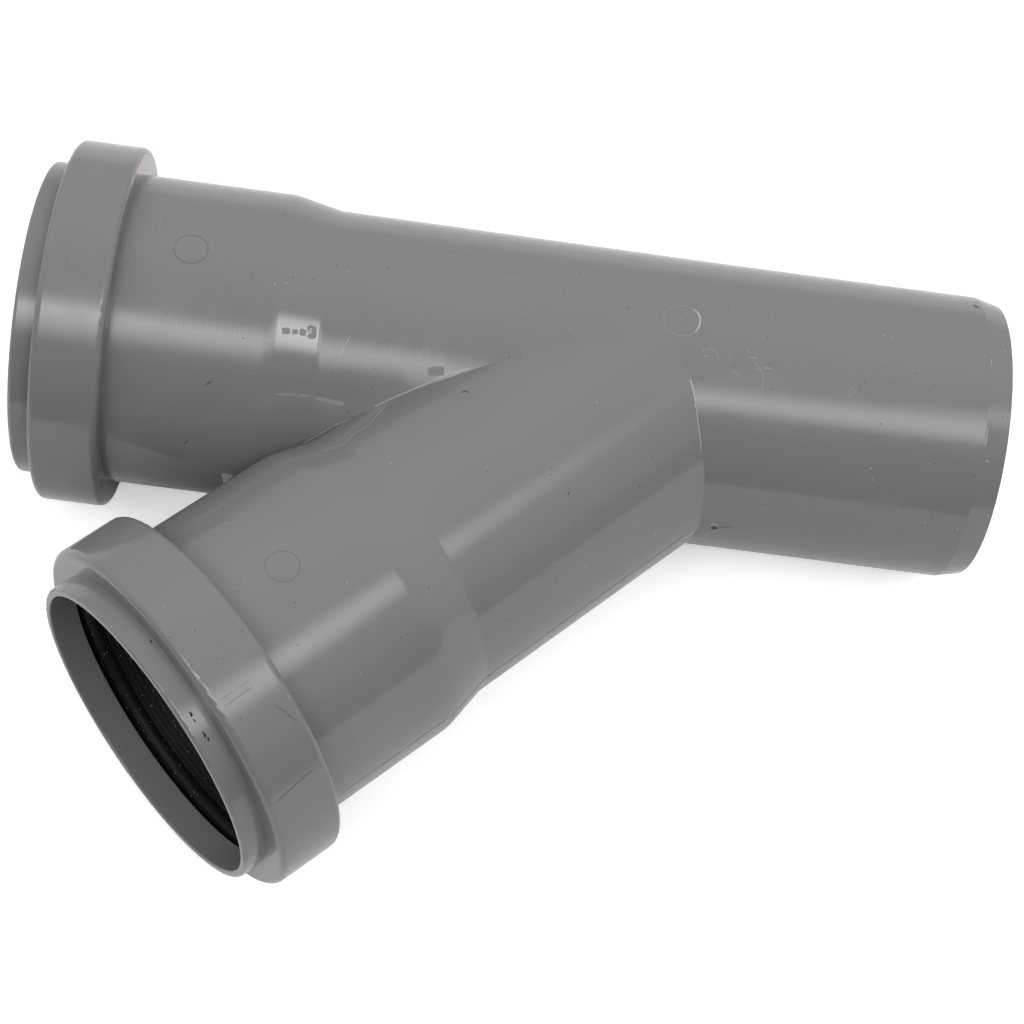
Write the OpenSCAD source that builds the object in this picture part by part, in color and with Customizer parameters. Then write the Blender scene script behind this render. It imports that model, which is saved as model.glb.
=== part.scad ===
// Push-fit 45 degree branch for 50 mm waste pipe: one plain spigot and two ring-seal
// sockets, moulded in one piece, with a rubber lip seal in each socket.
// The run lies along X and its spigot end faces +X. The branch leaves in the XY plane,
// which is the plane of symmetry. The origin is the centre of the spigot's end face.

/* [Pipe] */
// Outside diameter of the spigot
pipe_d = 50; // [40:0.5:60]
// Wall of the pipes and of the socket barrels
wall = 1.8; // [1.4:0.1:3]
// How far each arm's outside widens towards its socket, in degrees
draft = 0.28; // [0.1:0.02:0.5]
// How much thinner in radius the branch starts than the run
branch_step = 0.1; // [0.05:0.05:0.4]

/* [Layout] */
// Angle between the branch and the run's socket
branch_angle = 45; // [35:1:60]
// Crossing of the axes to the spigot's end
spigot_reach = 58.7; // [50:0.1:90]
// Crossing of the axes to the mouth of the run's socket
run_reach = 108.3; // [104:0.1:140]
// Crossing of the axes to the mouth of the branch's socket
branch_reach = 108.8; // [104:0.1:140]

/* [Spigot end] */
// Length of the lead-in chamfer
chamfer_l = 4.2; // [2:0.1:8]
// Depth of the lead-in chamfer
chamfer_depth = 1; // [0.4:0.1:1.2]
// Rounding of the thin outer rim
spigot_rim_r = 0.35; // [0.1:0.05:0.5]

/* [Sockets] */
// Room all round between a spigot and the socket's bore
socket_clearance = 0.3; // [0.1:0.05:0.6]
// Mouth to the inner end of the socket's straight bore
socket_depth = 42.3; // [38:0.1:50]
// Length of the cone that narrows the socket to the pipe
cone_l = 8.2; // [6:0.1:14]
// Rounding of the knee between barrel and cone
barrel_knee_r = 10; // [4:1:16]
// Rounding of the knee between cone and pipe
pipe_knee_r = 3; // [1:0.5:6]

/* [Mouths] */
// Radius by which the mouth is wider than the socket's bore
mouth_ease = 0.7; // [0.3:0.1:1.2]
// Wall of the lip ring at the mouth
lip_wall = 1.4; // [1:0.1:2]
// How far the lip ring stands out from the collar
lip_l = 4.1; // [2:0.1:6]
// Rounding of the lip ring's outer edge
lip_edge_r = 0.6; // [0.2:0.1:1]
// Rounding of the lip ring's inner edge
mouth_edge_r = 0.3; // [0.1:0.1:0.5]

/* [Collars] */
// Depth of the seal's groove, from the mouth's wall
groove_depth = 4; // [3.6:0.1:6]
// Length of the seal collar
collar_l = 11.7; // [11:0.1:16]
// Rounding of the collar's two edges
collar_edge_r = 1.1; // [0.4:0.1:1.6]
// Wall of the collar outside the seal's groove
collar_wall = 1.7; // [1.2:0.1:2]
// Wall between the groove and the collar's back face
collar_back_wall = 1.6; // [1.2:0.1:2]
// Mouth to the front of the seal's groove
groove_start = 5.1; // [4:0.1:7]

/* [Seals] */
// Room round the seal in its groove
seal_clearance = 0.1; // [0.05:0.05:0.3]
// Room between the seal's lip and a spigot of full size
lip_clearance = 0.15; // [0.1:0.05:0.4]
// Thickness of the seal's outer band
band_t = 1.5; // [1:0.1:2]
// Rubber between the bead's round and the seal's outer face
bead_seat = 0.6; // [0.3:0.05:1]
// How far the bead stands back from the mouth's wall, in radius
bead_inset = 0.2; // [0:0.05:0.6]
// How far the bead stands back from the groove's front
bead_setback = 0.8; // [0.4:0.1:1.2]
// Thickness of the leaning lip at its tip
seal_lip_t = 1; // [0.8:0.1:1.2]
// Thickness of the leaning lip at its root
seal_root_t = 1.5; // [1:0.1:1.8]
// Room between the lip's tip and the groove's back
tip_setback = 1.6; // [1:0.1:2.5]
// Ribs round the leaning lip
seal_ribs = 5; // [3:1:7]
// Height of the ribs on the leaning lip
seal_rib_h = 0.18; // [0.1:0.02:0.3]
// Radius of the ribs' round section
seal_rib_r = 0.3; // [0.2:0.05:0.4]
// Where the lip leaves the bead, in degrees behind its innermost point
lip_root_angle = 50; // [30:5:70]

/* [Hidden] */
round_fn = 120;
edge_fn = 48;
knee_fn = 192;
overlap = 1;
spigot_seam = 0.05;

pipe_r = pipe_d / 2;
bore_r = pipe_r - wall;
socket_r = pipe_r + socket_clearance;
barrel_r = socket_r + wall;
mouth_r = socket_r + mouth_ease;
lip_r = mouth_r + lip_wall;
groove_r = mouth_r + groove_depth;
collar_r = groove_r + collar_wall;
collar_end = lip_l + collar_l;
groove_end = collar_end - collar_back_wall;
bead_r = (groove_depth - seal_clearance - bead_seat - bead_inset) / 2;
// The crease under the spigot, and the seam just past it where the arms start to widen
crease_x = pipe_r * tan(branch_angle / 2);
spigot_start = crease_x + spigot_seam;

// Rounds the convex bend at b between a and c: what it draws is cut off the profile
module bend_cut(a, b, c, r, arc_fn = edge_fn) {
    ab = (a - b) / norm(a - b);
    cb = (c - b) / norm(c - b);
    half = acos(ab * cb) / 2;
    reach = r / tan(half);
    outward = -(ab + cb) / norm(ab + cb) * (r + overlap);
    centre = b + (ab + cb) / norm(ab + cb) * r / sin(half);
    difference() {
        polygon([b + ab * reach, b + ab * reach + outward,
                 b + cb * reach + outward, b + cb * reach]);
        translate(centre) circle(r, $fn = arc_fn);
    }
}

// Fills the inner side of a concave bend at b between a and c
module bend_fill(a, b, c, r, arc_fn = edge_fn) {
    ab = (a - b) / norm(a - b);
    cb = (c - b) / norm(c - b);
    half = acos(ab * cb) / 2;
    reach = r / tan(half);
    centre = b + (ab + cb) / norm(ab + cb) * r / sin(half);
    difference() {
        polygon([b + ab * reach, b - [overlap, 0], b + cb * reach, b + (ab + cb) * reach / 2]);
        translate(centre) circle(r, $fn = arc_fn);
    }
}

// Outside of one arm, from the height start to the mouth at the height reach
module arm_outside(start, start_r, reach) {
    neck_end = reach - socket_depth - cone_l;
    neck_r = start_r + (neck_end - start) * tan(draft);
    barrel_start = reach - socket_depth;
    rotate_extrude($fn = round_fn) difference() {
        union() {
            polygon([
                [0, start],
                [start_r, start],
                [neck_r, neck_end],
                [barrel_r, barrel_start],
                [barrel_r, reach - collar_end],
                [collar_r, reach - collar_end],
                [collar_r, reach - lip_l],
                [lip_r, reach - lip_l],
                [lip_r, reach],
                [0, reach]
            ]);
            bend_fill([start_r, start], [neck_r, neck_end],
                      [barrel_r, barrel_start], pipe_knee_r, knee_fn);
        }
        bend_cut([neck_r, neck_end], [barrel_r, barrel_start],
                 [barrel_r, reach - collar_end], barrel_knee_r, knee_fn);
        bend_cut([barrel_r, reach - collar_end], [collar_r, reach - collar_end],
                 [collar_r, reach - lip_l], collar_edge_r);
        bend_cut([collar_r, reach - collar_end], [collar_r, reach - lip_l],
                 [lip_r, reach - lip_l], collar_edge_r);
        bend_cut([lip_r, reach - lip_l], [lip_r, reach], [0, reach], lip_edge_r);
    }
}

// Hollow of one arm, from the height start and out through the mouth
module arm_inside(start, reach) {
    rotate_extrude($fn = round_fn) {
        polygon([
            [0, start],
            [bore_r, start],
            [bore_r, reach - socket_depth - cone_l],
            [socket_r, reach - socket_depth],
            [socket_r, reach - groove_end],
            [groove_r, reach - groove_end],
            [groove_r, reach - groove_start],
            [mouth_r, reach - groove_start],
            [mouth_r, reach + overlap],
            [0, reach + overlap]
        ]);
        // The mouth's inner edge is eased
        bend_cut([mouth_r, 0], [mouth_r, reach], [lip_r, reach], mouth_edge_r);
    }
}

// Outside of the spigot, from where the arms start to widen to the chamfered end
module spigot_outside() {
    end_r = pipe_r - chamfer_depth;
    rotate_extrude($fn = round_fn) difference() {
        polygon([
            [0, spigot_start],
            [pipe_r, spigot_start],
            [pipe_r, spigot_reach - chamfer_l],
            [end_r, spigot_reach],
            [0, spigot_reach]
        ]);
        bend_cut([pipe_r, spigot_reach - chamfer_l], [end_r, spigot_reach],
                 [0, spigot_reach], spigot_rim_r);
    }
}

// Turns a solid built along +Z to lie along the run's socket
module toward_run() rotate([0, -90, 0]) children();

// Turns a solid built along +Z to lie along the branch
module toward_branch() rotate([0, 0, branch_angle]) toward_run() children();

module toward_spigot() rotate([0, 90, 0]) children();

// Moves the crossing of the axes so that the spigot's end lies at the origin
module in_place() translate([-spigot_reach, 0, 0]) children();

module wye_body() color("dimgray") in_place() difference() {
    union() {
        toward_spigot() spigot_outside();
        toward_run() arm_outside(-spigot_start, pipe_r, run_reach);
        toward_branch() arm_outside(0, pipe_r - branch_step, branch_reach);
    }
    toward_spigot() translate([0, 0, -overlap])
        cylinder(h = spigot_reach + 2 * overlap, r = bore_r, $fn = round_fn);
    toward_run() arm_inside(0, run_reach);
    toward_branch() arm_inside(0, branch_reach);
}

// Rubber ring in one arm's groove: an outer band, a round bead at the front and a lip
// that leans inward and away from the mouth, with fine ribs. It is drawn as it lies
// round a pipe.
module seal(reach) {
    outer_r = groove_r - seal_clearance;
    front = reach - groove_start - seal_clearance;
    back = reach - groove_end + seal_clearance;
    bead = [mouth_r + bead_inset + bead_r, reach - groove_start - bead_setback - bead_r];
    root = bead - bead_r * [cos(lip_root_angle), sin(lip_root_angle)];
    tip = [pipe_r + lip_clearance + seal_rib_h, reach - groove_end + tip_setback];
    lip_len = norm(tip - root);
    rib_pitch = lip_len / seal_ribs;
    rotate_extrude($fn = round_fn) {
        translate([outer_r - band_t, back]) square([band_t, front - back]);
        translate(bead) circle(bead_r, $fn = edge_fn);
        translate(bead - [0, bead_r]) square([outer_r - bead[0], 2 * bead_r]);
        translate(root) rotate(atan2(tip[1] - root[1], tip[0] - root[0])) {
            polygon([[0, 0], [lip_len, 0], [lip_len, seal_lip_t], [0, seal_root_t]]);
            for (i = [1:seal_ribs])
                translate([(i - 0.5) * rib_pitch, seal_rib_r - seal_rib_h])
                    circle(seal_rib_r, $fn = edge_fn);
        }
    }
}

module run_seal() color("black") in_place() toward_run() seal(run_reach);

module branch_seal() color("black") in_place() toward_branch() seal(branch_reach);

wye_body();
run_seal();
branch_seal();
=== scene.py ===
"""Looks of a grey push-fit pipe branch: one spigot, two ring-seal sockets, lying on a white table."""

import math
import random

import bmesh
import bpy
from mathutils import Euler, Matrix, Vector


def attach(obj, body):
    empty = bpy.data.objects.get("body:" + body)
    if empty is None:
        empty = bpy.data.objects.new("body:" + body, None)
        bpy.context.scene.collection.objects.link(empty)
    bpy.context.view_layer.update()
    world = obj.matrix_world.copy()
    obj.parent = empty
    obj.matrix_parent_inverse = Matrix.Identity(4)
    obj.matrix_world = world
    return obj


MM = 0.001

# Camera, fitted to the outlines of the photographed part
CAMERA_AT = (-97.554, -225.816, 339.149)
CAMERA_TURN = (30.4916, -5.0924, 5.6265)
CAMERA_SHIFT = (0.0343, -0.0235)
FOCAL_LENGTH = 80.767
SENSOR_WIDTH = 36.0

# Sizes of the part, in millimetres: X of the crossing and of the back of the run's collar,
# and how far the back of the branch's collar lies from the crossing
CROSSING_X = -58.7
RUN_COLLAR_BACK = -151.2
BRANCH_COLLAR_BACK = 93.0
BRANCH_ANGLE = 45.0
PIPE_R = 25.0
CHAMFER_L = 4.2
COLLAR_R = 31.7
COLLAR_EDGE = 1.1

# Light, as radiance: 1 is the white of the picture
# The sky's level by its angle, in degrees over the part from the back to the viewer's side
SKY_LEVELS = {0: 0.67, 30: 0.85, 60: 1.07, 82: 0.86, 98: 0.77, 120: 0.63, 150: 0.13, 180: 0.0}
# The level that is 1 on the sky's colour ramp
SKY_TOP = 4.0
# Each soft lamp: the two end directions of its axis seen from the part, how far from that axis
# its bright core and its whole glow reach, and its radiance
SOFT_LAMPS = (
    ((-0.50, -0.57, 1.0), (-0.12, -0.64, 1.0), 0.02, 0.29, 4.7),
    ((-0.30, -0.52, 1.0), (-0.20, -0.52, 1.0), 0.02, 0.12, 2.8),
    ((0.20, -0.55, 1.0), (0.68, -0.20, 1.0), 0.02, 0.23, 4.0),
    ((0.37, -0.24, 1.0), (0.47, -0.55, 1.0), 0.02, 0.14, 5.4),
)
LAMP_TINT = (0.985, 0.99, 1.01, 1.0)
# The table: its colour, the light added to it in the picture, and where its front edge and its
# other edges lie from the run's collar, in metres
TABLE_COLOUR = (0.82, 0.797, 0.787, 1.0)
TABLE_GLOW = 0.47
TABLE_FRONT = -0.3
TABLE_SPAN = 4.0

# Greys of the materials; where there are two, a mottle runs between them
PLASTIC_GREYS = (0.156, 0.169)
# The grey of the pits' centres is painted shade inside them.
PIT_SHADE_GREY = 0.035
DUST_GREY = 0.4
RUBBER_GREYS = (0.002, 0.006)
# The lines' grey lightens their crests: a painted sheen.
RUBBER_CREST_SHEEN_GREY = 0.05
RUBBER_DUST_GREY = 0.35
# Roughness of clean plastic, and what its haze, clouds and scratches add
PLASTIC_ROUGHNESS = 0.085
HAZE_ROUGHNESS = 0.09
CLOUD_ROUGHNESS = 0.11
SCRATCH_ROUGHNESS = 0.12
# Fine lines moulded round the rubber, in millimetres
RUBBER_LINE_PITCH = 0.42

# Marks on the plastic, and highlights and shade painted on it, as points of the photograph in pixels,
# each with
#  with its half width in mm before them. They are thin closed strips of plastic that lie on the body.
PHOTO_SIZE = 1024
# Pale lines: the crease glints and the pit's rim are painted highlights; the others are pale scratches
# and scuffs.
PALE_SCUFFS_AND_GLINTS = {
    "run_crease_glint": (0.11, (373, 407), (395, 397), (421, 386), (446, 375), (470, 368)),
    "spigot_crease_glint": (0.17, (690, 378), (694, 394), (696, 408)),
    "spigot_crease_tail": (0.1, (696, 408), (699, 430), (701, 452)),
    "long_scratch": (0.08, (350, 336), (343, 350), (339, 362)),
    "short_scratch_1": (0.06, (330.5, 350), (329.5, 361)),
    "short_scratch_2": (0.05, (419, 352), (418.5, 366)),
    "spigot_scratch": (0.06, (873, 476), (874, 482)),
    "spigot_pit_rim_glint": (0.12, (710, 525), (714, 524.2), (718.5, 525.2)),
    "rim_scuff_1": (0.1, (991, 358), (992, 366)),
    "rim_scuff_2": (0.12, (988, 428), (985, 448)),
    "rim_scuff_3": (0.16, (985, 460), (989, 462)),
    "ring_side": (0.2, (693.5, 309), (698.5, 313.5), (700.3, 320), (698.8, 327), (694.5, 333)),
}
# Pale smears: the flow ridge's streak and the glints on the cone and neck are painted highlights; the
# scuffs and the collar's patch are real wear.
PALE_SMEARS_AND_GLINTS = {
    "upper_flow_ridge_highlight": (0.2, (385, 406), (369, 424), (354, 434), (343, 444), (323, 451)),
    "cone_glint_left": (0.2, (276, 394), (286, 394.5), (296, 395)),
    "cone_glint_right": (0.25, (299, 395), (310, 396)),
    "neck_glint": (0.4, (315, 398), (330, 401), (344, 404)),
    "scuff_1": (0.08, (732.5, 369.5), (735.5, 372), (740, 377)),
    "scuff_2": (0.16, (748.5, 357.5), (758.5, 358)),
    "scuff_3": (0.2, (763, 368), (773, 368.5)),
    "scuff_4": (0.16, (702.5, 355), (708, 356.5)),
    "scuff_9": (0.08, (754, 362), (761, 370), (764, 376)),
    "scuff_10": (0.1, (704, 350), (711, 348), (714, 352)),
    "scuff_11": (0.07, (726, 352), (731, 358), (729, 364)),
    "scuff_5": (0.1, (715.5, 349.5), (719, 360)),
    "scuff_6": (0.1, (746.5, 346.5), (750.5, 353)),
    "scuff_7": (0.1, (882.5, 336.5), (885.5, 334.5)),
    "scuff_8": (0.12, (890, 335.5), (893, 339)),
    "top_scuff": (0.2, (713, 282), (716, 282.5)),
    "collar_dash_field": (0.7, (222, 704), (237, 693.5), (252, 683.5)),
}
# Dark lines: pits, nicks and specks, drawn as raised dark strips whose darkness is painted shade of the
# hollows.
DARK_LINES = {
    "spigot_nick": (0.34, (973.5, 305), (979, 308.5)),
    "spigot_pit": (0.5, (711, 527.7), (717.5, 528.2)),
    "spigot_pit_tail": (0.06, (718, 527), (733, 527)),
    "lip_pit_1": (0.2, (189.5, 712), (191.5, 714.5), (191.5, 717)),
    "lip_pit_2": (0.16, (193.5, 719), (195.5, 722)),
    "lip_pit_3": (0.18, (202.5, 732), (205, 735), (205, 738)),
    "lip_pit_4": (0.18, (208, 737), (209, 741)),
    "lip_pit_5": (0.16, (150, 640), (152, 643)),
    "barrel_nick_1": (0.1, (184, 444), (189, 439)),
    "barrel_nick_2": (0.1, (205, 385), (212, 381)),
    "branch_nick": (0.1, (461, 393), (465, 391), (469, 393)),
    "run_speck": (0.18, (165.5, 313.5), (166.5, 314)),
    "seam_pit_1": (0.16, (348, 412), (349, 413)),
    "seam_pit_2": (0.12, (365, 404), (365.5, 404.5)),
    "barrel_pit": (0.14, (304, 428), (304.5, 428.5)),
    "branch_pit": (0.12, (568, 492), (569, 495)),
}
SHADE_LINES = {
    "collar_flow_line": (0.2, (274, 704), (284, 711), (296, 721)),
    "collar_flow_left": (0.18, (277, 802), (297, 783), (316, 768)),
    "collar_dash_upper": (0.1, (220, 700), (236, 690), (250, 680)),
    "collar_dash_lower": (0.08, (224, 707), (238, 697), (253, 687)),
    "mouth_knit_line": (0.1, (121, 752), (130, 743), (140, 733)),
}
DULL_PATCHES = {
    "smudge_1": (0.6, (282, 331), (290, 331)),
    "smudge_2": (0.48, (292, 331.5), (298, 332)),
    "smudge_3": (0.62, (299.5, 332), (306, 333)),
    "smudge_block": (1.2, (307, 331.5), (316.5, 332.5)),
    "dark_window": (0.8, (428, 371.5), (444, 371)),
    "spigot_smear": (0.7, (845, 396), (856, 388)),
}
FLASH_LINES = {
    "crease_crust": (0.22, (352, 419), (346, 421), (339, 424), (334, 426)),
    "crease_crust_tail": (0.14, (334, 426), (321, 434), (303, 444)),
    "collar_burr_1": (0.16, (137, 731), (139, 733)),
    "collar_burr_2": (0.16, (208, 820), (211, 822)),
    "rim_burr": (0.12, (202, 770), (204, 772)),
}
# Round ejector marks: centre in the photograph, radius and half width of the line in mm. The dark rings
# are painted shade in the marks' grooves, the pale ring a painted highlight on its ridge.
DARK_RINGS = {
    "run_ring": ((191, 248.6), 2.85, 0.07),
    "branch_ring": ((282.5, 566), 2.7, 0.05),
}
PALE_RINGS = {
    "crossing_ring": ((682, 320), 3.1, 0.08),
}
# Fields of hairline scratches round the arms: left, right, top and bottom in the photograph,
# and how many
HAIRLINE_FIELDS = {
    "run": (323, 431, 343, 354, 130),
    "barrel": (120, 262, 316, 338, 90),
    "collar": (44, 92, 300, 318, 30),
    "spigot": (735, 975, 384, 412, 50),
}
# Shortest and longest hairline in pixels, their lean, and their half widths in mm
HAIRLINE_DROP = (4, 16)
HAIRLINE_LEAN = -0.06
HAIRLINE_HALF_WIDTH = (0.012, 0.03)
# A torn web of flash in the crotch: its corners in the plane of symmetry and its thickness,
# in millimetres
CROTCH_CHIP = ((-130.8, -26.9), (-128.4, -26.9), (-130.0, -29.1))
CROTCH_CHIP_T = 0.3

# The strips that the marks are made of: the distance between their sections and how deep they
# stand in the body, in millimetres, and the sections of a round one
STRIP_PITCH = 0.8
STRIP_SINK = 0.03
RING_SIDES = 48
# Where the parting line starts on the branch, from the crossing, and how far from the collars
# and the chamfer it ends, in millimetres
PARTING_START = 10.4
PARTING_MARGIN = 1.0

chance = random.Random(4)

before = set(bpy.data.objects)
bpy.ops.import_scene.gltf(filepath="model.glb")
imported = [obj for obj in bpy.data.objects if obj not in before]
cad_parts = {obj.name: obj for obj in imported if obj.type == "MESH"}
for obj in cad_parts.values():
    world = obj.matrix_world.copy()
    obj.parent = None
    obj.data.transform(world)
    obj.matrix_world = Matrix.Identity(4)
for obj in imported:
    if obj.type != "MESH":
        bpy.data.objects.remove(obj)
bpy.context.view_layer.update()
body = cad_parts["wye_body"]
seals = [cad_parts["run_seal"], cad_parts["branch_seal"]]


def run_point(x, across=0.0, up=0.0):
    """A point beside the run's axis, in metres."""
    return Vector((x, across, up)) * MM


def branch_point(along, across=0.0, up=0.0):
    """A point beside the branch's axis: along from the crossing, across away from the run."""
    turn = math.radians(BRANCH_ANGLE)
    x = CROSSING_X - along * math.cos(turn) + across * math.sin(turn)
    y = -along * math.sin(turn) - across * math.cos(turn)
    return Vector((x, y, up)) * MM


class Shader:
    """Builds the nodes of one material or world by short names."""

    def __init__(self, owner):
        self.owner = owner
        owner.use_nodes = True
        self.tree = owner.node_tree
        self.tree.nodes.clear()

    def node(self, kind, **settings):
        made = self.tree.nodes.new(kind)
        for key, value in settings.items():
            setattr(made, key, value)
        return made

    def put(self, socket, value):
        """Links a socket to a socket, or sets a socket to a number, colour or vector."""
        if isinstance(value, bpy.types.NodeSocket):
            self.tree.links.new(value, socket)
        else:
            socket.default_value = value

    def math(self, operation, first, second=None, clamp=False):
        made = self.node("ShaderNodeMath", operation=operation, use_clamp=clamp)
        self.put(made.inputs[0], first)
        if second is not None:
            self.put(made.inputs[1], second)
        return made.outputs[0]

    def vector_math(self, operation, first, second=None):
        made = self.node("ShaderNodeVectorMath", operation=operation)
        self.put(made.inputs[0], first)
        if second is not None:
            self.put(made.inputs[1], second)
        return made.outputs["Value" if operation in ("LENGTH", "DOT_PRODUCT", "DISTANCE") else 0]

    def noise(self, place, scale, detail=3.0, roughness=0.5, stretch=(1, 1, 1)):
        scaled = self.vector_math("MULTIPLY", place, stretch)
        made = self.node("ShaderNodeTexNoise")
        self.put(made.inputs["Vector"], scaled)
        self.put(made.inputs["Scale"], scale)
        self.put(made.inputs["Detail"], detail)
        self.put(made.inputs["Roughness"], roughness)
        return made.outputs["Fac"]

    def distance_to_stroke(self, place, start, end):
        """Distance from a place to the straight stroke between two points."""
        reach = end - start
        offset = self.vector_math("SUBTRACT", place, start)
        share = self.vector_math("DOT_PRODUCT", offset, reach / reach.length_squared)
        share = self.math("MULTIPLY", share, 1.0, clamp=True)
        along = self.node("ShaderNodeVectorMath", operation="SCALE")
        self.put(along.inputs[0], reach)
        self.put(along.inputs["Scale"], share)
        return self.vector_math("DISTANCE", offset, along.outputs[0])

    def step(self, value, low, high):
        """0 below low, 1 above high, with a soft step between; high may be the smaller."""
        made = self.node("ShaderNodeMapRange", interpolation_type="SMOOTHSTEP")
        self.put(made.inputs["Value"], value)
        self.put(made.inputs["From Min"], low)
        self.put(made.inputs["From Max"], high)
        return made.outputs["Result"]

    def mix(self, factor, first, second):
        made = self.node("ShaderNodeMix", data_type="RGBA")
        self.put(made.inputs["Factor"], factor)
        self.put(made.inputs["A"], first)
        self.put(made.inputs["B"], second)
        return made.outputs["Result"]

    def bump(self, height, distance, normal=None):
        made = self.node("ShaderNodeBump")
        self.put(made.inputs["Height"], height)
        self.put(made.inputs["Distance"], distance)
        if normal is not None:
            self.put(made.inputs["Normal"], normal)
        return made.outputs["Normal"]

    def finish(self, shader):
        output = self.node("ShaderNodeOutputMaterial")
        self.put(output.inputs["Surface"], shader)
        return self.owner


def grey(value):
    """A neutral colour."""
    return (value, value, value, 1.0)


def pixel_on_body(x, y):
    """The point of the body that the camera sees at a pixel of the photograph, and the
    surface's normal there."""
    turn = Euler([math.radians(a) for a in CAMERA_TURN]).to_matrix()
    spread = SENSOR_WIDTH / FOCAL_LENGTH
    across = (x / PHOTO_SIZE - 0.5 + CAMERA_SHIFT[0]) * spread
    up = (0.5 - y / PHOTO_SIZE + CAMERA_SHIFT[1]) * spread
    to_body = body.matrix_world.inverted()
    start = to_body @ (Vector(CAMERA_AT) * MM)
    sight = (to_body.to_3x3() @ turn @ Vector((across, up, -1))).normalized()
    hit, place, normal, _ = body.ray_cast(start, sight)
    if not hit:
        raise ValueError(f"no part of the body at pixel {x}, {y}")
    return place, normal


def arm_places(s, place):
    """The place turned so that X runs along the arm whose axis is nearer."""
    offset = s.vector_math("SUBTRACT", place, run_point(CROSSING_X))
    turn = s.node("ShaderNodeVectorRotate", rotation_type="Z_AXIS")
    s.put(turn.inputs["Vector"], offset)
    s.put(turn.inputs["Angle"], -math.radians(BRANCH_ANGLE))
    turned = turn.outputs["Vector"]
    round_axis = (0, 1, 1)
    from_run = s.vector_math("LENGTH", s.vector_math("MULTIPLY", offset, round_axis))
    from_branch = s.vector_math("LENGTH", s.vector_math("MULTIPLY", turned, round_axis))
    on_branch = s.math("LESS_THAN", from_branch, from_run)
    choose = s.node("ShaderNodeMix", data_type="VECTOR")
    s.put(choose.inputs["Factor"], on_branch)
    s.put(choose.inputs["A"], offset)
    s.put(choose.inputs["B"], turned)
    return choose.outputs["Result"]


def specks(s, place, pitch, radius, share):
    """Scattered small round dots of a radius, in cells of about a pitch, both in millimetres.
    A share of the cells has one."""
    cells = s.node("ShaderNodeTexVoronoi")
    s.put(cells.inputs["Vector"], place)
    s.put(cells.inputs["Scale"], 1 / (pitch * MM))
    lot = s.node("ShaderNodeSeparateXYZ")
    s.put(lot.inputs[0], cells.outputs["Color"])
    chosen = s.math("LESS_THAN", lot.outputs["X"], share)
    dot = s.step(cells.outputs["Distance"], radius / pitch, 0.5 * radius / pitch)
    return s.math("MULTIPLY", dot, chosen)


def moulded_plastic():
    """Grey polypropylene: satin gloss, with pits, dust, haze and fine scratches round the arms."""
    s = Shader(bpy.data.materials.new("grey_polypropylene"))
    place = s.node("ShaderNodeTexCoord").outputs["Object"]

    # Colour: a faint mottle, ragged pale dust, and pits darkened with painted shade
    pits = specks(s, place, pitch=1.7, radius=0.19, share=0.17)
    beside = s.vector_math("ADD", place, (0.3, 0.1, 0.2))
    dust = specks(s, beside, pitch=1.9, radius=0.17, share=0.17)
    ragged = s.step(s.noise(place, scale=2600, detail=1), low=0.4, high=0.6)
    mottle = s.noise(place, scale=60, detail=4)
    base = s.mix(mottle, *map(grey, PLASTIC_GREYS))
    base = s.mix(s.math("MULTIPLY", dust, ragged), base, grey(DUST_GREY))
    base = s.mix(s.math("MULTIPLY", pits, 0.65), base, grey(PIT_SHADE_GREY))

    # Gloss: duller in a fine haze, in clouds and where scratches run round the arms
    haze = s.noise(place, scale=140, detail=5, roughness=0.6)
    cloud = s.step(s.noise(place, scale=38, detail=4, roughness=0.6), low=0.48, high=0.72)
    round_the_arm = (1, 0.03, 0.03)
    streaks = s.noise(arm_places(s, place), scale=2600, detail=4, roughness=0.75, stretch=round_the_arm)
    worn = s.step(s.noise(place, scale=55, detail=2), low=0.45, high=0.62)
    scratched = s.math("MULTIPLY", s.step(streaks, low=0.56, high=0.72), worn)
    rough = s.math("ADD", s.math("MULTIPLY", haze, HAZE_ROUGHNESS), PLASTIC_ROUGHNESS)
    rough = s.math("ADD", rough, s.math("MULTIPLY", cloud, CLOUD_ROUGHNESS))
    rough = s.math("ADD", rough, s.math("MULTIPLY", scratched, SCRATCH_ROUGHNESS))

    # Relief: soft waves, scratches and pits
    normal = s.bump(s.noise(place, scale=45, detail=2), distance=0.00006)
    normal = s.bump(scratched, distance=0.000005, normal=normal)
    normal = s.bump(s.math("SUBTRACT", 1.0, pits), distance=0.00003, normal=normal)
    shader = s.node("ShaderNodeBsdfPrincipled")
    s.put(shader.inputs["Base Color"], base)
    s.put(shader.inputs["Roughness"], rough)
    s.put(shader.inputs["IOR"], 1.49)
    s.put(shader.inputs["Normal"], normal)
    return s.finish(shader.outputs["BSDF"])


def mark_plastic(name, greys, roughness, gloss=0.5):
    """The body's plastic where it is scuffed, dented or torn, or where a highlight or shade is painted
    on it: between two greys, and duller.
    """
    s = Shader(bpy.data.materials.new(name))
    place = s.node("ShaderNodeTexCoord").outputs["Object"]
    grain = s.noise(place, scale=2500, detail=3)
    shader = s.node("ShaderNodeBsdfPrincipled")
    s.put(shader.inputs["Base Color"], s.mix(grain, *map(grey, greys)))
    s.put(shader.inputs["Roughness"], s.math("ADD", s.math("MULTIPLY", grain, 0.2), roughness))
    s.put(shader.inputs["Specular IOR Level"], gloss)
    s.put(shader.inputs["Normal"], s.bump(grain, distance=0.00001))
    return s.finish(shader.outputs["BSDF"])


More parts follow.
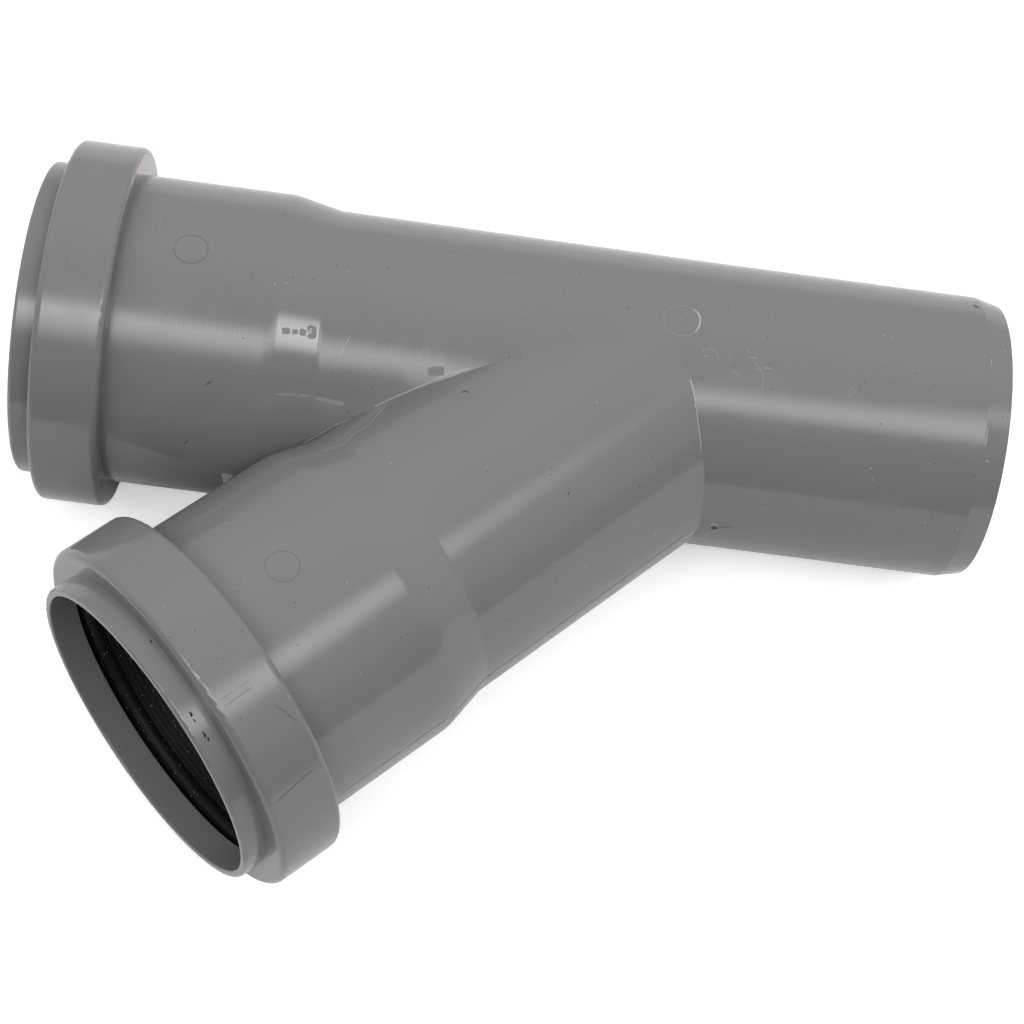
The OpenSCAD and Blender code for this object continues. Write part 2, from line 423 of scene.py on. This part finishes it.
def seal_rubber():
    """Black rubber: matt, with fine grainy lines round it whose crests are lighter with a painted
    sheen, and specks of white dust.
    """
    s = Shader(bpy.data.materials.new("black_rubber"))
    place = s.node("ShaderNodeTexCoord").outputs["Object"]
    along = s.node("ShaderNodeSeparateXYZ")
    s.put(along.inputs[0], arm_places(s, place))
    turns = s.math("MULTIPLY", along.outputs["X"], math.tau / (RUBBER_LINE_PITCH * MM))
    crests = s.step(s.math("SINE", turns), low=0.3, high=0.9)
    grain = s.noise(place, scale=2200, detail=3, roughness=0.7)
    lines = s.math("MULTIPLY", crests, s.step(grain, low=0.42, high=0.62))
    dust = specks(s, place, pitch=0.9, radius=0.14, share=0.6)
    base = s.mix(s.noise(place, scale=300, detail=5), *map(grey, RUBBER_GREYS))
    # Painted sheen: the crests of the lines lighter
    base = s.mix(s.math("MULTIPLY", lines, 0.5), base, grey(RUBBER_CREST_SHEEN_GREY))
    base = s.mix(s.math("MULTIPLY", dust, 0.8), base, grey(RUBBER_DUST_GREY))
    shader = s.node("ShaderNodeBsdfPrincipled")
    s.put(shader.inputs["Base Color"], base)
    s.put(shader.inputs["Roughness"], s.math("ADD", s.math("MULTIPLY", grain, 0.25), 0.4))
    s.put(shader.inputs["Specular IOR Level"], 0.2)
    s.put(shader.inputs["Normal"], s.bump(lines, distance=0.00003))
    return s.finish(shader.outputs["BSDF"])


def dress_nodes():
    """Gives the body and the seals their materials."""
    plastic = moulded_plastic()
    rubber = seal_rubber()
    looks = [(body, plastic, "grey_polypropylene")]
    looks += [(seal, rubber, "black_rubber") for seal in seals]
    for piece, material, slot in looks:
        for place in piece.material_slots:
            place.material = material


def on_body(point):
    """The nearest point of the body's surface, with the surface's normal there."""
    _, place, normal, _ = body.closest_point_on_mesh(point)
    return place, normal


def smooth_line(points):
    """Places a strip's pitch apart on a smooth curve through the points."""
    last = len(points) - 1
    spots = []
    for i in range(last):
        before, start, end = points[max(i - 1, 0)], points[i], points[i + 1]
        after = points[min(i + 2, last)]
        count = max(2, round((end - start).length / (STRIP_PITCH * MM)))
        for stop in range(count):
            t = stop / count
            bend = (end - before) * t + (2 * before - 5 * start + 4 * end - after) * t ** 2
            spots.append(start + (bend + (3 * start - before - 3 * end + after) * t ** 3) / 2)
    return spots + [points[last]]


def add_strip(build, line, half_width, height, crown, closed=False, tip=0.3, waver=0.0):
    """A thin closed strip on the body. Its section is a trapezium, whose flat top is a share
    crown of its width. An open strip's ends are a share tip of its middle."""
    rings = []
    last = len(line) - 1
    for i, (place, normal) in enumerate(line):
        ahead = line[(i + 1) % len(line)][0] if closed or i < last else place
        behind = line[i - 1][0] if closed or i > 0 else place
        side = normal.cross(ahead - behind).normalized()
        ends = 1.0 if closed or 0 < i < last else tip
        width = half_width * MM * ends
        top = height * MM * ends * (1 + waver * chance.uniform(-1, 1))
        low = place - normal * STRIP_SINK * MM
        high = place + normal * top
        corners = [low - side * width, high - side * width * crown,
                   high + side * width * crown, low + side * width]
        rings.append([build.verts.new(corner) for corner in corners])
    turns = list(zip(rings, rings[1:] + rings[:1]))
    if not closed:
        turns = turns[:-1]
        build.faces.new(reversed(rings[0]))
        build.faces.new(rings[-1])
    for here, there in turns:
        for i in range(4):
            j = (i + 1) % 4
            build.faces.new([here[i], here[j], there[j], there[i]])


def mark_piece(name, build, material):
    """Makes one piece of the strips built so far."""
    bmesh.ops.recalc_face_normals(build, faces=build.faces)
    mesh = bpy.data.meshes.new(name)
    build.to_mesh(mesh)
    build.free()
    mesh.materials.append(material)
    piece = bpy.data.objects.new(name, mesh)
    bpy.context.scene.collection.objects.link(piece)
    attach(piece, "root")


def line_marks(name, lines, material, height, crown, tip=0.3, waver=0.0):
    """The named lines of the photograph, as strips on the body."""
    build = bmesh.new()
    for half_width, *pixels in lines.values():
        points = [pixel_on_body(*pixel)[0] for pixel in pixels]
        line = [on_body(spot) for spot in smooth_line(points)]
        add_strip(build, line, half_width, height, crown, tip=tip, waver=waver)
    mark_piece(name, build, material)


def hairlines(material):
    """Hairline scratches round the arms, where light falls along them."""
    build = bmesh.new()
    for left, right, top, bottom, count in HAIRLINE_FIELDS.values():
        for _ in range(count):
            x = chance.uniform(left, right)
            y = chance.uniform(top, bottom)
            drop = chance.uniform(*HAIRLINE_DROP)
            end = (x + HAIRLINE_LEAN * drop, y + drop)
            points = [pixel_on_body(x, y)[0], pixel_on_body(*end)[0]]
            line = [on_body(spot) for spot in smooth_line(points)]
            half_width = chance.uniform(*HAIRLINE_HALF_WIDTH)
            add_strip(build, line, half_width, height=0.004, crown=0.6)
    mark_piece("hairlines", build, material)


def crotch_chip(material):
    """A torn web of flash between the two sockets, in the plane of symmetry."""
    build = bmesh.new()
    half = CROTCH_CHIP_T / 2
    low, high = ([build.verts.new(run_point(x, y, up)) for x, y in CROTCH_CHIP]
                 for up in (-half, half))
    build.faces.new(low)
    build.faces.new(high)
    for i in range(3):
        j = (i + 1) % 3
        build.faces.new([low[i], low[j], high[j], high[i]])
    mark_piece("crotch_chip", build, material)


def ring_marks(name, rings, material):
    """Round ejector marks."""
    build = bmesh.new()
    for pixel, radius, half_width in rings.values():
        centre, normal = pixel_on_body(*pixel)
        across = normal.orthogonal().normalized()
        beside = normal.cross(across)
        turns = [math.tau * i / RING_SIDES for i in range(RING_SIDES)]
        points = [centre + (across * math.cos(turn) + beside * math.sin(turn)) * radius * MM
                  for turn in turns]
        line = [on_body(point) for point in points]
        add_strip(build, line, half_width, height=0.012, crown=0.7, closed=True)
    mark_piece(name, build, material)


def parting_line(material):
    """The thin uneven ridge where the mould's halves met, on the outer sides of both arms."""
    build = bmesh.new()
    branch_side = (branch_point(PARTING_START),
                   branch_point(BRANCH_COLLAR_BACK - PARTING_MARGIN),
                   branch_point(0, across=1) - branch_point(0))
    back_side = (run_point(-CHAMFER_L - PARTING_MARGIN),
                 run_point(RUN_COLLAR_BACK + PARTING_MARGIN),
                 run_point(0, across=1))
    for start, end, outward in (branch_side, back_side):
        outward = outward.normalized()
        count = round((end - start).length / (STRIP_PITCH * MM))
        line = []
        for i in range(count + 1):
            spot = start.lerp(end, i / count) + outward * 2 * COLLAR_R * MM
            hit, place, normal, _ = body.ray_cast(spot, -outward)
            if hit:
                line.append((place, normal))
        add_strip(build, line, half_width=0.08, height=0.03, crown=0.5, waver=0.5)
    mark_piece("parting_line", build, material)


def make_marks():
    """All the small marks on the plastic, and the highlights and shade painted on it as strips."""
    # Pale plastic for scuffs, and for the painted highlights on the creases and the pit's rim
    pale = mark_plastic("pale_scuff_and_glint", greys=(0.25, 0.45), roughness=0.35)
    # Pale plastic for scuffs and hairlines, and for painted highlights on the cone, the neck and a flow
    # ridge
    smear_and_glint = mark_plastic("pale_smear_and_glint", greys=(0.185, 0.24), roughness=0.26)
    # Near black plastic: painted shade in pits and nicks
    dark = mark_plastic("dent_and_pit_shade", greys=(0.01, 0.04), roughness=0.45, gloss=0.1)
    shade = mark_plastic("shade_line", greys=(0.06, 0.1), roughness=0.2, gloss=0.3)
    faint = mark_plastic("faint_line", greys=(0.11, 0.135), roughness=0.2, gloss=0.4)
    dull = mark_plastic("dull_smear", greys=(0.14, 0.17), roughness=0.42)
    flash = mark_plastic("flash_edge", greys=(0.15, 0.24), roughness=0.3)
    line_marks("pale_marks", PALE_SCUFFS_AND_GLINTS, pale, height=0.02, crown=0.5)
    line_marks("pale_smears", PALE_SMEARS_AND_GLINTS, smear_and_glint, height=0.008, crown=0.8, tip=0.5)
    line_marks("dark_marks", DARK_LINES, dark, height=0.01, crown=0.9, tip=0.5)
    line_marks("shade_marks", SHADE_LINES, faint, height=0.014, crown=0.9)
    line_marks("dull_marks", DULL_PATCHES, dull, height=0.008, crown=0.95, tip=0.75)
    line_marks("crease_flash", FLASH_LINES, flash, height=0.14, crown=0.3, waver=0.5)
    hairlines(smear_and_glint)
    # Dark rings are painted shade in the grooves, the pale ring a painted highlight on a ridge
    ring_marks("ejector_marks", DARK_RINGS, shade)
    ring_marks("ejector_mark_crossing", PALE_RINGS, smear_and_glint)
    parting_line(shade)
    crotch_chip(flash)


def table_material():
    """Matt white with a fine grain. In the picture it glows a little, and so is white."""
    s = Shader(bpy.data.materials.new("white_table"))
    place = s.node("ShaderNodeTexCoord").outputs["Object"]
    grain = s.noise(place, scale=900, detail=3)
    paint = s.node("ShaderNodeBsdfPrincipled")
    s.put(paint.inputs["Base Color"], TABLE_COLOUR)
    s.put(paint.inputs["Roughness"], 0.7)
    s.put(paint.inputs["Normal"], s.bump(grain, distance=0.00002))
    glow = s.node("ShaderNodeEmission")
    path = s.node("ShaderNodeLightPath")
    seen = s.math("MULTIPLY", path.outputs["Is Camera Ray"], TABLE_GLOW)
    s.put(glow.inputs["Strength"], seen)
    both = s.node("ShaderNodeAddShader")
    s.put(both.inputs[0], paint.outputs["BSDF"])
    s.put(both.inputs[1], glow.outputs["Emission"])
    return s.finish(both.outputs["Shader"])


def lay_table():
    """The table touches the part where it rests: both collars and the spigot's end."""
    run_foot = run_point(RUN_COLLAR_BACK - COLLAR_EDGE, up=-COLLAR_R)
    branch_foot = branch_point(BRANCH_COLLAR_BACK + COLLAR_EDGE, up=-COLLAR_R)
    spigot_foot = run_point(-CHAMFER_L, up=-PIPE_R)
    normal = (spigot_foot - run_foot).cross(run_foot - branch_foot).normalized()
    if normal.z < 0:
        normal = -normal
    along = Vector((1, 0, 0)) - normal * normal.x
    along.normalize()
    across = normal.cross(along)
    corners = [run_foot + along * i + across * j
               for i, j in [(-TABLE_SPAN, TABLE_FRONT), (TABLE_SPAN, TABLE_FRONT),
                            (TABLE_SPAN, TABLE_SPAN), (-TABLE_SPAN, TABLE_SPAN)]]
    mesh = bpy.data.meshes.new("table")
    mesh.from_pydata(corners, [], [(0, 1, 2, 3)])
    table = bpy.data.objects.new("table", mesh)
    bpy.context.scene.collection.objects.link(table)
    mesh.materials.append(table_material())


def soft_lamps(s, direction):
    """Radiance of the lamps in a direction: brightest in each core, fading to its rim."""
    total = 0.0
    for start, end, core, rim, radiance in SOFT_LAMPS:
        start, end = Vector(start).normalized(), Vector(end).normalized()
        away = s.distance_to_stroke(direction, start, end)
        total = s.math("ADD", total, s.math("MULTIPLY", s.step(away, rim, core), radiance))
    return total


def light_world():
    """A soft sky, brightest over and behind the part, and white behind the picture."""
    world = bpy.data.worlds.new("studio")
    bpy.context.scene.world = world
    s = Shader(world)
    direction = s.node("ShaderNodeTexCoord").outputs["Generated"]
    sides = s.node("ShaderNodeSeparateXYZ")
    s.put(sides.inputs[0], direction)
    angle = s.math("ABSOLUTE", s.math("ARCTAN2", sides.outputs["Z"], sides.outputs["Y"]))
    ramp = s.node("ShaderNodeValToRGB")
    s.put(ramp.inputs["Fac"], s.math("DIVIDE", angle, math.pi, clamp=True))
    stops = ramp.color_ramp.elements
    while len(stops) < len(SKY_LEVELS):
        stops.new(1.0)
    for stop, (degrees, level) in zip(stops, sorted(SKY_LEVELS.items())):
        stop.position = degrees / 180
        stop.color = grey(level / SKY_TOP)
    light = s.node("ShaderNodeBackground")
    s.put(light.inputs["Color"], ramp.outputs["Color"])
    s.put(light.inputs["Strength"], SKY_TOP)
    lamps = s.node("ShaderNodeBackground")
    s.put(lamps.inputs["Color"], LAMP_TINT)
    s.put(lamps.inputs["Strength"], soft_lamps(s, direction))
    sum_of_both = s.node("ShaderNodeAddShader")
    s.put(sum_of_both.inputs[0], light.outputs["Background"])
    s.put(sum_of_both.inputs[1], lamps.outputs["Background"])
    white = s.node("ShaderNodeBackground")
    s.put(white.inputs["Color"], grey(1.0))
    choose = s.node("ShaderNodeMixShader")
    s.put(choose.inputs["Fac"], s.node("ShaderNodeLightPath").outputs["Is Camera Ray"])
    s.put(choose.inputs[1], sum_of_both.outputs["Shader"])
    s.put(choose.inputs[2], white.outputs["Background"])
    output = s.node("ShaderNodeOutputWorld")
    s.put(output.inputs["Surface"], choose.outputs["Shader"])


def place_camera():
    """The camera that took the photograph."""
    camera = bpy.data.cameras.new("camera")
    camera.lens = FOCAL_LENGTH
    camera.sensor_width = SENSOR_WIDTH
    camera.shift_x, camera.shift_y = CAMERA_SHIFT
    camera.clip_start = 0.01
    camera.clip_end = 50
    holder = bpy.data.objects.new("camera", camera)
    holder.location = Vector(CAMERA_AT) * MM
    holder.rotation_euler = Euler([math.radians(a) for a in CAMERA_TURN])
    bpy.context.scene.collection.objects.link(holder)
    bpy.context.scene.camera = holder


place_camera()
light_world()
lay_table()
dress_nodes()
make_marks()
bpy.context.scene.view_settings.view_transform = "Standard"
